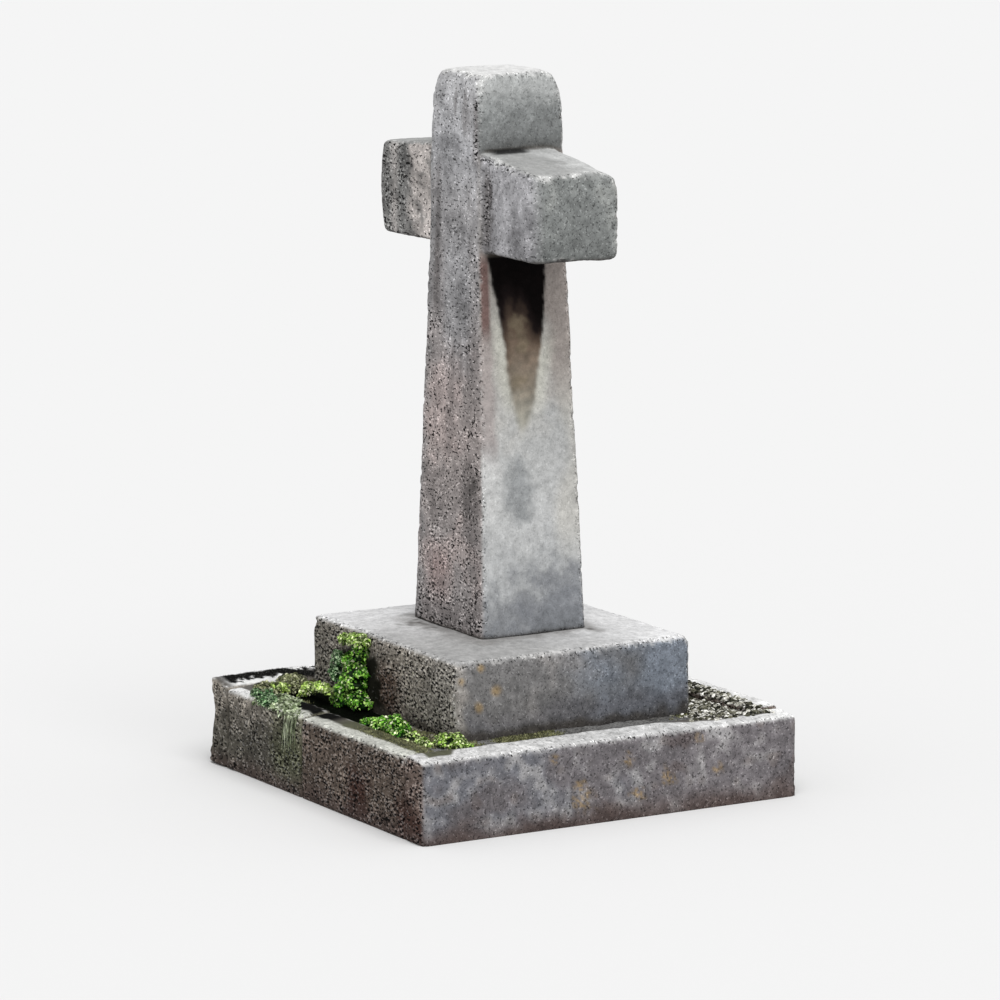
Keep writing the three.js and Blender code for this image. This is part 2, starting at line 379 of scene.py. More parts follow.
def make_granite(name, crystal, crust, relief):
    """Weathered granite, with crystals about so wide, a crust so mottled and relief of about that depth."""
    finish, tree, surface = new_finish(name, STONE_SHINE)
    grain = place(tree, "ShaderNodeGroup", {
        "Place": place(tree, "ShaderNodeTexCoord").outputs["Object"],
        "Weather": attribute(tree, "weather", "Color"),
        "Bare": attribute(tree, "bare", "Fac"),
        "Crystal": crystal,
        "Crust": crust,
    }, node_tree=granite_grain).outputs
    bump = {"Height": grain["Height"], "Distance": relief, "Strength": STONE_BUMP}
    wire(tree, surface, {
        "Base Color": grain["Color"],
        "Roughness": grain["Roughness"],
        "Normal": place(tree, "ShaderNodeBump", bump).outputs["Normal"],
    })
    return finish


def hand_over(piece, node, finish):
    """A worn copy takes the place of its node, on the root body, with the given finish."""
    piece.data.materials.append(finish)
    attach(piece, "root")
    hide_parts(node)


def paint_plinth(points, normals, edge):
    x, y, z = points.T
    blotch = ripple(points, 0.16, 41)
    patch = ripple(points, 0.05, 42)
    faces = right, left, back, front, top, under = facing(normals)
    from_corner = np.hypot(x - PLINTH_HIGH.x, y - PLINTH_LOW.y) + 0.06 * blotch
    off_side = np.maximum(abs(x) - SHAFT_FOOT_HALF[0], 0)
    off_shaft = np.hypot(off_side, np.maximum(abs(y) - SHAFT_FOOT_HALF[1], 0))
    litter = spots(x, y, PLINTH_LITTER, 0.8 * ripple(points, 0.02, 44))
    top_tone = glaze(
        # Pale top, bleached and with a painted sheen.
        PLINTH_TOP_PALE_AND_SHEEN,
        (PLINTH_TOP_NEAR, fade(from_corner, 0.85, 0.3)),
        # Painted contact shade with some dirt round the foot of the shaft.
        (PLINTH_TOP_DIRT_AND_SHADE, 0.75 * fade(off_shaft + 0.04 * patch, 0.085, 0.01)),
        (DAMP_DIRT_AND_SHADE, 0.8 * litter * fade(ripple(points, 0.03, 45), -0.2, 0.3)),
    )
    stain = fade(abs(x - 0.02) + 0.04 * blotch, 0.14, 0.04) * fade(z + 0.02 * patch, 0.46, 0.38)
    torn = 0.03 * patch + 0.025 * ripple(points, 0.018, 46)
    shade = band(x + torn + 0.35 * (z - 0.32), -0.23, 0.0, 0.02) * fade(z + 0.6 * torn, 0.46, 0.42)
    front_tone = glaze(
        PLINTH_FRONT,
        (PLINTH_FRONT_PALE, 0.6 * fade(x, 0.1, 0.42)),
        (PLINTH_FRONT_DARK, 0.5 * fade(x, -0.2, -0.44)),
        (PLINTH_FRONT_STAIN, 0.9 * stain),
        (WEED_SHADE, 0.95 * shade),
    )
    side_tone = glaze(
        PLINTH_SIDE_GREY,
        (PLINTH_SIDE_BLUE, fade(y + 0.25 * blotch + 0.1 * patch, -0.2, 0.3)),
        (PLINTH_SIDE_WARM, 0.45 * fade(blotch + 0.5 * patch - 3 * abs(y + 0.07), -0.4, 0.5)),
        (PLINTH_SIDE_DAMP, 0.6 * fade(z + 0.05 * blotch, 0.36, 0.3)),
        (PLINTH_CORNER_PALE, 0.75 * fade(y + 0.025 * patch, -0.37, -0.41)),
        (OCHRE_LICHEN, 0.65 * spots(y, z, PLINTH_LICHEN, 0.8 * patch)),
    )
    hidden_tone = glaze(PLINTH_BACK, (PLINTH_BACK_PALE, 0.7 * fade(blotch, 0, 0.5)))
    tone = join_faces(faces, (side_tone, hidden_tone, hidden_tone, front_tone, top_tone, hidden_tone))
    tone *= (1 + (0.2 * blotch + 0.2 * patch) * (1 - 0.6 * top))[:, None]
    tone = glaze(
        tone,
        # Pale chips and painted glints along the edges.
        (PALE_CHIP_AND_GLINT, 0.35 * glints(points, edge, 43)),
        # The foot, where the plinth meets the earth, is darker: dirt and painted shade.
        (DAMP_DIRT_AND_SHADE, 0.8 * fade(z + 0.025 * patch, 0.3, 0.26)),
    )
    bare = 0.3 * right + front + 0.8 * (back + left) + 0.06 * top + 0.5 * under
    bare = np.maximum(bare, 0.55 * fade(edge, 0.0005, 0.002)) * (0.88 + 0.27 * fade(patch, -0.35, 0.35))
    return tone, bare * (1 - 0.7 * shade * front)


plinth_stone = hewn_copy("plinth", PLINTH_CELL)
plinth_shape = wear_stone(plinth_stone, 1, swell=0.003, lumps=0.0012, grain=0.0008, chips=0.008, rubbed=0.4)
keep_paint(plinth_stone.data, *paint_plinth(*plinth_shape))
plinth_granite = make_granite("plinth granite", crystal=0.0076, crust=1.9, relief=0.0025)
hand_over(plinth_stone, "plinth", plinth_granite)


# Cross: shaft, head and arms cut from one block of the same granite, standing on the plinth by its
# weight. Its front is pitted and pink-brown, its near side is washed pale, and water that drips from
# the near arm has left a black stain on the shaft, which turns brown and runs out below.
CROSS_CELL = 0.0065
# Half width of the shaft along X at three heights.
SHAFT_LEVELS = (0.51, 1.735, 2.274)
SHAFT_HALF_X = (0.223, 0.157, 0.1465)
ARM_UNDER = 1.72
ARM_HOLLOW = 0.014
ARM_BULGE = 0.006
CROSS_FRONT = (
    (0.51, (0.28, 0.255, 0.252)), (0.64, (0.36, 0.333, 0.328)), (1.15, (0.385, 0.342, 0.33)),
    (1.55, (0.285, 0.27, 0.27)), (1.85, (0.36, 0.352, 0.358)), (2.05, (0.42, 0.42, 0.435)),
    (2.27, (0.46, 0.46, 0.47)),
)
CROSS_SIDE = (
    (0.51, (0.205, 0.215, 0.23)), (0.56, (0.235, 0.245, 0.263)), (0.65, (0.27, 0.278, 0.29)),
    (0.73, (0.42, 0.428, 0.43)), (0.86, (0.475, 0.48, 0.478)), (1.1, (0.46, 0.465, 0.46)),
    (1.35, (0.46, 0.448, 0.425)), (1.6, (0.38, 0.36, 0.335)), (1.7, (0.3, 0.28, 0.26)),
)
HEAD_SIDE = (
    (2.04, (0.1, 0.1, 0.098)), (2.08, (0.18, 0.187, 0.185)), (2.16, (0.25, 0.26, 0.258)),
    (2.24, (0.4, 0.41, 0.405)),
)
PINK_FELDSPAR = (0.35, 0.288, 0.275)
PALE_GREY = (0.37, 0.372, 0.385)
DARK_CRUST = (0.16, 0.145, 0.142)
GREY_ARRIS = (0.27, 0.27, 0.275)
# Dark lines of pits, also used as painted shade in the hollow of the near arm.
PIT_LINE_AND_SHADE = (0.12, 0.11, 0.108)
RED_CRUST = (0.26, 0.18, 0.17)
ARM_FRONT = (0.36, 0.356, 0.37)
ARM_END = (0.206, 0.215, 0.21)
ARM_END_PALE = (0.27, 0.278, 0.268)
ARM_TOP_TONE = (0.36, 0.362, 0.357)
ARM_TOP_PALE = (0.56, 0.565, 0.56)
FAR_ARM_END = (0.21, 0.208, 0.203)
FAR_ARM_CREAM = (0.55, 0.508, 0.485)
HEAD_CROWN = (0.7, 0.7, 0.695)
# Under faces of the arms: a dark stain with painted shade.
UNDERSIDE_STAIN_AND_SHADE = (0.08, 0.075, 0.072)
# Near-black crease where the head meets the arms: painted shade with dirt.
CREVICE_SHADE_AND_DIRT = (0.012, 0.012, 0.012)
# Pale frost-like bloom, also used as a painted highlight on lit top edges.
FROST_AND_HIGHLIGHT = (0.66, 0.66, 0.65)
CROSS_BACK = (0.33, 0.315, 0.3)
CROSS_BACK_DARK = (0.24, 0.225, 0.21)
HEAD_BACK = (0.42, 0.415, 0.41)
# The drip stain: its two edges by height, and its colour from the arm down.
STAIN_LEVELS = (1.15, 1.18, 1.26, 1.33, 1.44, 1.52, 1.58, 1.66, 1.72)
STAIN_LEFT = (-0.028, -0.037, -0.056, -0.068, -0.079, -0.094, -0.106, -0.121, -0.13)
STAIN_RIGHT = (-0.022, -0.001, 0.028, 0.036, 0.06, 0.067, 0.073, 0.079, 0.081)
STAIN_COLOURS = (
    (1.14, (0.42, 0.415, 0.37)), (1.2, (0.36, 0.345, 0.295)), (1.3, (0.25, 0.215, 0.17)),
    (1.43, (0.185, 0.138, 0.103)), (1.5, (0.1, 0.07, 0.052)), (1.58, (0.012, 0.008, 0.008)),
    (1.64, (0.003, 0.002, 0.002)),
)
STAIN_BEIGE = (0.25, 0.205, 0.14)
# Paler patches in the stain as (across, up, radius).
STAIN_PATCHES = ((-0.03, 1.5, 0.03), (-0.012, 1.43, 0.02), (-0.02, 1.32, 0.03))
STREAK_CREAM = (0.58, 0.575, 0.51)
RUST_STREAK = (0.17, 0.1, 0.09)
SIDE_SMUDGE = (0.265, 0.275, 0.28)
SIDE_BEIGE = (0.47, 0.455, 0.415)
SIDE_PINK = (0.35, 0.3, 0.29)
SIDE_BROWN = (0.31, 0.27, 0.25)


def on_arms(points):
    """1 on the arms, 0 on the shaft and head."""
    x, z = points.T[[0, 2]]
    neck = np.interp(z, SHAFT_LEVELS, SHAFT_HALF_X)
    return fade(abs(x), neck + 0.003, neck + 0.014) * fade(z, ARM_UNDER - 0.03, ARM_UNDER)


def hollow_arms(points, normals):
    """The arms' front is hollowed where it meets the shaft, most on the near arm, whose end swells at
    the back and has lost its upper corner there."""
    x, y, z = points.T
    depth = ARM_HOLLOW * np.where(x > 0, 1, 0.4) * fade(abs(x), 0.27, 0.18)
    push = -depth * fade(-normals[:, 1], 0.4, 0.9) * fade(z, ARM_UNDER, 1.83)
    push += ARM_BULGE * fade(x, 0.33, 0.42) * fade(y, 0.02, 0.12) * (1 - 2.5 * fade(z, 1.95, 2.03))
    return push * on_arms(points)


def paint_stain(tone, y, z, streak, patch, fine):
    """Soot and rust under the near arm, with cream streaks of washed stone beside them. Gives back the
    stained tone and where the stone is soaked."""
    left_edge = np.interp(z, STAIN_LEVELS, STAIN_LEFT) + 0.004 * streak + 0.006 * fine
    right_edge = np.interp(z, STAIN_LEVELS, STAIN_RIGHT) + 0.004 * streak - 0.006 * fine
    beside_left = fade(y - left_edge, -0.06, -0.012) * fade(y - left_edge, 0.01, 0)
    beside_right = fade(y - right_edge, 0.065, 0.015) * fade(y - right_edge, -0.01, 0)
    share = (y - left_edge) / np.maximum(right_edge - left_edge, 0.01)
    sooty = 0.11 * fade(share, 0.5, 0.85) * fade(z, 1.4, 1.48)
    sooty += 0.05 * fade(share, 0.25, 0.02) * fade(z, 1.3, 1.45)
    drip = by_height(z + 0.02 * streak + 0.035 * fine + 0.02 * patch + sooty, STAIN_COLOURS)
    drip = glaze(drip, (STAIN_BEIGE, 0.6 * spots(y, z, STAIN_PATCHES, 0.8 * (patch + fine))))
    drip *= (1 + 0.35 * fine + 0.15 * patch)[:, None]
    soft = 0.007 + 0.008 * fade(z, 1.45, 1.25)
    inside = fade(y, left_edge - soft, left_edge + soft) * fade(y, right_edge + soft, right_edge - soft)
    soaked = inside * fade(z, 1.1, 1.2) * fade(z, 1.75, 1.74)
    stained = glaze(
        tone,
        (STREAK_CREAM, 0.8 * beside_left * band(z, 1.24, 1.52, 0.07)),
        (STREAK_CREAM, 0.75 * beside_right * band(z, 1.22, 1.44, 0.07)),
        (RUST_STREAK, 0.9 * band(y, -0.158, -0.127, 0.006) * band(z, 1.47, 1.72, 0.04)),
        (drip, soaked),
    )
    return stained, soaked


def paint_cross(points, normals, edge):
    x, y, z = points.T
    blotch = ripple(points, 0.2, 51)
    patch = ripple(points, 0.055, 52)
    fine = ripple(points, 0.02, 55)
    streak = ripple(points * (1, 1, 0.12), 0.03, 53)
    faces = right, left, back, front, top, under = facing(normals)
    arm = on_arms(points)
    head = fade(z, 2.02, 2.05)
    across = x / np.interp(z, SHAFT_LEVELS, SHAFT_HALF_X)

    pink = fade(blotch + 0.5 * patch, -0.2, 0.45) * band(z, 0.62, 1.42, 0.1)
    dark_arris = fade(across + 0.05 * patch, 0.72, 0.92) * fade(z, 1.98, 2.03) * fade(z, 2.24, 2.18)
    arris_band = band(across, 0.55, 0.92, 0.12) * band(z, 0.5, 1.5, 0.1)
    # Dark band on the near arm's front beside the shaft: black pits and painted shade in the hollow there.
    hollow_shade_and_pits = fade(x + 0.03 * patch + 0.02 * fine, 0.245, 0.18) * band(z, 1.73, 1.99, 0.05)
    near_arm = glaze(ARM_FRONT, (PIT_LINE_AND_SHADE, 0.8 * hollow_shade_and_pits))
    cream = fade(x + 0.03 * patch, -0.34, -0.26) + 0.4 * band(x, -0.42, -0.38, 0.02)
    far_arm = glaze(FAR_ARM_END, (FAR_ARM_CREAM, cream * fade(patch + 0.6 * fine, -1.1, 0.2)))
    front_tone = glaze(
        by_height(z, CROSS_FRONT),
        (PINK_FELDSPAR, 0.6 * pink),
        (GREY_ARRIS, 0.5 * fade(across + 0.1 * patch, -0.7, -0.92)),
        (PIT_LINE_AND_SHADE, 0.7 * dark_arris),
        (PALE_GREY, 0.6 * band(across, -0.3, 0.7, 0.2) * band(z, 1.38, 1.78, 0.1)),
        (DARK_CRUST, 0.55 * arris_band * fade(blotch, -0.6, 0.2)),
        (DARK_CRUST, 0.75 * band(across, 0.4, 0.9, 0.1) * band(z, 0.85, 1.03, 0.06)),
        (PIT_LINE_AND_SHADE, 0.6 * band(across, -0.72, -0.5, 0.08) * band(z, 1.5, 2.0, 0.06)),
        (RED_CRUST, 0.5 * band(across, -0.6, 0, 0.2) * band(z, 0.6, 0.76, 0.06)),
        (DARK_CRUST, 0.5 * fade(streak + blotch, 0.3, 0.9)),
        (np.where((x > 0)[:, None], near_arm, far_arm), arm),
    )

    ragged = 0.1 * patch + 0.05 * blotch + 0.04 * fine
    browned = fade(y + 0.02 * patch, 0.055, 0.1) * fade(z + 0.05 * blotch, 1.16, 1.42)
    side_tone = glaze(
        by_height(z + ragged - 0.06 * fade(y, -0.05, 0.12) + 0.03, CROSS_SIDE),
        (SIDE_BEIGE, 0.6 * fade(y + 0.05 * blotch, 0.08, 0.14) * band(z, 0.78, 1.4, 0.1)),
        (SIDE_PINK, 0.7 * fade(y + 0.015 * patch, -0.1, -0.13) * band(z, 1.08, 1.5, 0.08)),
        (SIDE_BROWN, 0.8 * browned),
    )
    side_tone, soaked = paint_stain(side_tone, y, z, streak, patch, fine)
    smudge = fade(np.hypot((y + 0.042) / 0.055, (z - 0.965) / 0.1) + 0.35 * patch + 0.2 * fine, 1.3, 0.5)
    frosted = 0.6 * fade(y + 0.03 * patch, -0.09, -0.14) * band(z + 0.05 * blotch, 0.86, 1.07, 0.05)
    side_tone = glaze(
        side_tone,
        (SIDE_SMUDGE, 0.85 * smudge),
        (FROST_AND_HIGHLIGHT, frosted),
        (by_height(z + 0.02 * patch, HEAD_SIDE), head),
        (glaze(ARM_END, (ARM_END_PALE, fade(blotch + patch, 0, 0.8))), arm),
    )

    top_tone = glaze(
        ARM_TOP_TONE,
        (ARM_TOP_PALE, fade(y + 0.05 * patch, -0.02, 0.12)),
        (HEAD_CROWN, fade(z, 2.1, 2.2)),
    )
    hidden_tone = glaze(CROSS_BACK, (CROSS_BACK_DARK, fade(blotch + streak, 0, 0.8)), (HEAD_BACK, 0.7 * head))
    # The under faces take the dark stain with painted shade.
    tone = join_faces(faces, (side_tone, hidden_tone, hidden_tone, front_tone, top_tone, UNDERSIDE_STAIN_AND_SHADE))
    uneven = 0.36 * blotch + 0.3 * patch + 0.16 * fine
    uneven += 0.45 * ripple(points, 0.09, 56) * np.maximum(head, arm) * front
    tone *= (1 + uneven * (0.28 + 0.72 * (front + back + left) + 0.3 * arm * right))[:, None]
    crest = fade(edge, 0.0003, 0.002) * fade(patch + 0.5 * fine, -0.1, 0.35)
    crest_places = np.maximum(fade(z, 2.2, 2.25), arm * fade(x, 0.15, 0.25) * fade(z, 1.97, 2.0))
    crevice = band(z, 2.032, 2.052, 0.008) * band(y, -0.113, 0.013, 0.02)
    crevice *= fade(x, 0.1, 0.14) * fade(x, 0.2, 0.17)
    tone = glaze(
        tone,
        # Pale chips and painted glints along the edges.
        (PALE_CHIP_AND_GLINT, 0.35 * glints(points, edge, 54) * (1 - under) * (1 - front) * fade(z, 0.52, 0.6)),
        # Painted highlight along the lit top edges of the head and the near arm.
        (FROST_AND_HIGHLIGHT, 0.7 * crest * crest_places),
        # Concave corners are darker: painted shade and dirt.
        (DAMP_DIRT_AND_SHADE, 0.7 * fade(edge, -0.001, -0.0035)),
        # Painted shade with dirt in the crease where the head meets the arms.
        (CREVICE_SHADE_AND_DIRT, 0.95 * crevice),
        # Painted contact shadow along the foot of the shaft, with dirt.
        (DAMP_DIRT_AND_SHADE, 0.6 * fade(z + 0.008 * patch, 0.53, 0.512)),
    )

    front_bare = np.interp(z, (0.5, 0.7, 1.2, 1.7, 2.0), (0.93, 0.82, 0.7, 0.62, 0.5))
    front_bare *= 1 - 0.3 * arm * fade(x, 0, 0.2)
    front_bare = np.maximum(front_bare, (0.95 - 0.65 * np.minimum(cream, 1)) * arm * fade(x, 0, -0.1))
    front_bare = np.maximum(front_bare, 0.95 * np.maximum(dark_arris, hollow_shade_and_pits * arm * fade(x, 0, 0.1)))
    front_bare *= 0.8 + 0.35 * fade(patch, -0.35, 0.35)
    bare = front_bare * (front + 0.9 * back + 0.8 * left)
    bare += (0.12 + 0.24 * arm + 0.1 * head) * right + 0.08 * top + 0.4 * under
    bare = np.maximum(bare, 0.5 * fade(edge, 0.0005, 0.002) * (1 - under))
    return tone, bare * (1 - soaked * right)


cross_stone = hewn_copy("cross", CROSS_CELL)
cross_rubbed = 0.3 + 0.5 * fade(read_points(cross_stone.data)[:, 2], 1.62, 1.76)
cross_shape = wear_stone(cross_stone, 11, swell=0.003, lumps=0.0018, grain=0.001, chips=0.01,
                         rubbed=cross_rubbed, shaping=hollow_arms)
keep_paint(cross_stone.data, *paint_cross(*cross_shape))
cross_granite = make_granite("cross granite", crystal=0.0072, crust=1.5, relief=0.0025)
hand_over(cross_stone, "cross", cross_granite)


# Kerb: long granite stones set on the ground round the plot, the two end ones through to the corners
# and the others between them, with open joints. Their rims are trodden pale, their faces are stained
# by splashing earth, and a little ochre lichen grows on the near one.
KERB_CELL = 0.0065
KERB_STONES = ("kerb_right", "kerb_left", "kerb_front_left", "kerb_front_right", "kerb_back")
KERB_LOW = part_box("kerb_left")[0]
KERB_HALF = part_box("kerb_right")[1]
KERB_TOP = KERB_HALF.z
CORNER_REACH = 0.3
CORNER_BITE = 0.014
CORNER_SPREAD = 0.01
KERB_SIDE = (0.16, 0.148, 0.155)
KERB_SIDE_BLUE = (0.15, 0.152, 0.168)
KERB_SIDE_PALE = (0.3, 0.292, 0.29)
KERB_FRONT_RIGHT = (0.113, 0.089, 0.073)
KERB_FRONT_LEFT = (0.085, 0.079, 0.066)
KERB_FRONT_LEFT_PALE = (0.3, 0.27, 0.232)
KERB_CORNER_RED = (0.2, 0.15, 0.132)
KERB_HIDDEN = (0.165, 0.158, 0.148)
KERB_HIDDEN_DARK = (0.11, 0.1, 0.085)
KERB_RIM = (0.59, 0.588, 0.585)
KERB_RIM_FRONT = (0.54, 0.545, 0.5)
KERB_RIM_FAR = (0.78, 0.78, 0.775)
# Dead black moss, also used as painted shade on the front rim under the weeds.
BLACK_MOSS_AND_SHADE = (0.003, 0.003, 0.003)
SPLASH = (0.085, 0.062, 0.056)
RED_STAIN = (0.052, 0.026, 0.02)
ALGAE = (0.1, 0.108, 0.058)
# Lichen spots as (across, up, radius) on the near side.
KERB_LICHEN = (
    (-0.098, 0.089, 0.04), (0.094, 0.076, 0.024), (0.197, 0.118, 0.026), (0.314, 0.229, 0.018),
    (-0.21, 0.226, 0.016), (0.054, 0.189, 0.02), (0.381, 0.122, 0.018), (-0.12, 0.12, 0.022),
)


def bite_corner(points, normals):
    """The front left corner is eaten away at half height and spreads again at the ground."""
    x, y, z = points.T
    near = fade(np.hypot(x - KERB_LOW.x, y - KERB_LOW.y), CORNER_REACH, 0)
    outside = fade(-normals[:, 0] - normals[:, 1], 0.5, 0.9)
    return near * outside * (CORNER_SPREAD * fade(z, 0.09, 0.02) - CORNER_BITE * band(z, 0.15, 0.2, 0.06))


def spilt_earth(points, patch):
    """1 on the inner part of the rim, where earth from the plot lies on it, 0 on the trodden part."""
    x, y = points.T[:2]
    inward = np.minimum(KERB_HALF.x - abs(x), KERB_HALF.y - abs(y)) + 0.012 * patch
    narrowed = np.maximum(fade(x, -0.58, -0.6), fade(y, 0.5, 0.56))
    narrowed = np.maximum(narrowed, fade(x, 0.58, 0.6) * fade(y, 0.2, 0.42))
    trodden = 0.096 - (0.048 + 0.006 * fade(x, 0.1, -0.06)) * fade(y, -0.5, -0.56) - 0.046 * narrowed
    return fade(inward, trodden, trodden + 0.012)


def black_moss(points):
    """1 on the far left rim, where dead black moss lies in ragged patches, 0 elsewhere."""
    x, y = points.T[:2]
    further = fade(y, -0.43, -0.37)
    ragged = KERB_HALF.x - abs(x) + 0.03 * ripple(points, 0.03, 64) + 0.025 * ripple(points, 0.013, 66)
    patches = fade(ragged - 0.045 * further, -0.002, 0.004) * fade(ragged - 0.06 * further, 0.077, 0.071)
    return patches * fade(x, -0.58, -0.6) * fade(y, -0.665, -0.64) * fade(y, -0.1, -0.25)


def paint_kerb(points, normals, edge):
    x, y, z = points.T
    blotch = ripple(points, 0.13, 61)
    patch = ripple(points, 0.045, 62)
    fine = ripple(points, 0.02, 65)
    faces = right, left, back, front, top, under = facing(normals)
    crumbly = fade(ripple(points, 0.011, 67), -0.35, 0.3)
    near_tone = glaze(
        KERB_SIDE,
        (KERB_SIDE_BLUE, fade(blotch + 0.4 * patch - y, 0, 0.7)),
        (KERB_SIDE_PALE, 0.65 * fade(patch + 0.7 * blotch + 0.3 * fine, -0.1, 0.7)),
        (SPLASH, 0.5 * fade(patch - 0.8 * blotch, 0.2, 0.7)),
        (OCHRE_LICHEN, 0.65 * crumbly * spots(y, z, KERB_LICHEN, 0.8 * (patch + fine))),
        (SPLASH, 0.9 * fade(z + 0.03 * blotch + 0.012 * patch, 0.085, 0.005)),
    )
    near_tone *= (1 + 0.12 * fade(y, 0, 0.5))[:, None]
    washed = fade(z + 0.06 * blotch + 0.03 * patch, 0.13, 0.22)
    red = fade(abs(x - 0.29) + 0.05 * blotch + 0.03 * patch, 0.12, 0.03) * fade(z + 0.03 * patch, 0.2, 0.12)
    red = np.maximum(red, fade(x + 0.04 * patch, 0.5, 0.6) * fade(z + 0.05 * blotch, 0.16, 0.08))
    green = fade(x + 0.05 * patch, -0.34, -0.2) * fade(x, -0.075, -0.095)
    green *= fade(z + 0.05 * blotch, 0.02, 0.12)
    front_tone = glaze(
        KERB_FRONT_RIGHT,
        (glaze(KERB_FRONT_LEFT, (KERB_FRONT_LEFT_PALE, 0.8 * washed)), fade(x, -0.06, -0.1)),
        (KERB_CORNER_RED, 0.5 * fade(x, 0.54, 0.62)),
        (RED_STAIN, 0.93 * red),
        (ALGAE, 0.7 * green),
        (SPLASH, 0.7 * fade(z + 0.02 * blotch, 0.09, 0.01)),
    )
    front_tone *= (1 + 0.3 * (patch + fine) * fade(x, -0.2, -0.36))[:, None]
    side_tone = glaze(near_tone, (front_tone, fade(x, 0.62, 0.58)))
    hidden_tone = glaze(
        KERB_HIDDEN,
        (KERB_HIDDEN_DARK, fade(blotch + 0.5 * patch, 0, 0.6)),
        (SPLASH, 0.7 * fade(z + 0.02 * blotch, 0.07, 0.01)),
    )
    spilt = spilt_earth(points, patch)
    mossy = black_moss(points)
    rim_tone = glaze(
        KERB_RIM,
        (KERB_RIM_FRONT, fade(x, 0.6, 0.58)),
        (KERB_RIM_FAR, np.maximum(fade(x, -0.42, -0.46), fade(y, 0.4, 0.6))),
        (DAMP_DIRT_AND_SHADE, 0.92 * spilt),
        (ALGAE, 0.6 * spilt * fade(x, 0.03, 0.12) * fade(y, -0.5, -0.55)),
        # Painted shade on the inner part of the front rim, under the weeds.
        (BLACK_MOSS_AND_SHADE, spilt * band(x, -0.4, 0.03, 0.03) * fade(y, -0.5, -0.55)),
        (KERB_RIM_FAR, fade(x, -0.58, -0.6) * band(y, -0.65, -0.4, 0.02)),
        (BLACK_MOSS_AND_SHADE, mossy),
    )
    tone = join_faces(faces, (side_tone, hidden_tone, hidden_tone, front_tone, rim_tone, hidden_tone))
    tone *= (1 + 0.22 * blotch + 0.22 * patch + 0.12 * fine)[:, None]
    on_rim = fade(z, KERB_TOP - 0.05, KERB_TOP - 0.02)
    # Pale chips and painted glints along the rim's edges.
    tone = glaze(tone, (PALE_CHIP_AND_GLINT, 0.35 * glints(points, edge, 63) * on_rim))
    bare = 0.38 * right + front + 0.8 * (back + left) + 0.25 * top + 0.5 * under
    bare *= 1 - 0.16 * front * fade(x, -0.2, -0.36)
    bare = np.maximum(bare, 0.6 * fade(edge, 0.0005, 0.002) * on_rim)
    bare *= 0.82 + 0.36 * fade(patch, -0.35, 0.35)
    return tone, bare * (1 - np.maximum(mossy, spilt) * top)


kerb_granite = make_granite("kerb granite", crystal=0.008, crust=1.7, relief=0.0028)
kerb_stones = {}
for order, kerb_name in enumerate(KERB_STONES):
    kerb_stone = kerb_stones[kerb_name] = hewn_copy(kerb_name, KERB_CELL)
    kerb_shape = wear_stone(kerb_stone, 21 + 5 * order, swell=0.004, lumps=0.0015, grain=0.0008, chips=0.008,
                            rubbed=0.5, shaping=bite_corner)
    keep_paint(kerb_stone.data, *paint_kerb(*kerb_shape))
    hand_over(kerb_stone, kerb_name, kerb_granite)


# Earth: soil that fills the plot between kerb and plinth to just under the rim. It is crumbly on top,
# grey with washed-out dust on the near side, and nearly black where the weeds shade it.
EARTH_CELL = 0.011
EARTH_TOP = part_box("earth_bed")[1].z
CRUMBS = 0.005
CRUMBS_A_METRE = 120
CRUMB_RELIEF = 0.006
GRIT_A_METRE = 110
GRIT = (0.45, 0.44, 0.42, 1)
SOIL = (0.07, 0.064, 0.055)
SOIL_DUST = (0.155, 0.153, 0.15)
SOIL_SHADED = (0.002, 0.003, 0.0015)
SOIL_MOSS = (0.07, 0.07, 0.032)
LEDGE = (0.32, 0.3, 0.275)


def make_earth(name):
    """Loose soil with grit: the painted colour, broken up by dark gaps and pale grains."""
    finish, tree, surface = new_finish(name, shine=0.02, roughness=0.95)
    where = place(tree, "ShaderNodeTexCoord").outputs["Object"]
    crumbs = mottle(tree, where, CRUMBS_A_METRE, 5, 0.7)
    level = remap(tree, crumbs, 0.3, 0.7, 0.15, 1.9)
    toned = vector_calc(tree, "SCALE", {0: attribute(tree, "weather", "Color"), "Scale": level})
    grit = calc(tree, "MULTIPLY", grains(tree, where, GRIT_A_METRE, 0.63), attribute(tree, "bare", "Fac"))
    bump = place(tree, "ShaderNodeBump", {"Height": crumbs, "Distance": CRUMB_RELIEF})
    wire(tree, surface, {
        "Base Color": place(tree, "ShaderNodeMix", {0: grit, 6: toned, 7: GRIT}, data_type="RGBA").outputs[2],
        "Normal": bump.outputs["Normal"],
    })
    return finish


def paint_earth(points):
    x, y = points.T[:2]
    blotch = ripple(points, 0.12, 73)
    patch = ripple(points, 0.04, 74)
    shaded = fade(y, -0.38, -0.44) * fade(x + 0.04 * blotch, 0.16, 0.06)
    shaded = np.maximum(shaded, 0.8 * fade(x, -0.4, -0.48) * fade(y + 0.1 * blotch, 0, -0.3))
    tone = glaze(
        SOIL,
        (SOIL_DUST, fade(x + 0.04 * blotch, 0.42, 0.5)),
        (SOIL_MOSS, 0.8 * fade(x, 0.42, 0.5) * band(y + 0.04 * patch, -0.3, -0.12, 0.04)),
        (SOIL_SHADED, shaded),
        (LEDGE, fade(x, 0.02, 0.08) * fade(x, 0.5, 0.47) * band(y, -0.455, -0.42, 0.006)),
    )
    tone *= (1 + 0.3 * blotch + 0.3 * patch)[:, None]
    return tone, (0.12 + 0.15 * fade(x, 0.3, 0.45)) * (1 - 0.9 * shaded)


def upper_faces(mesh, flat, level):
    """1 on the faces of a mesh that look up, where they are flat enough and above a level, else 0."""
    return fade(read_normals(mesh)[:, 2], *flat) * fade(read_points(mesh)[:, 2], *level)


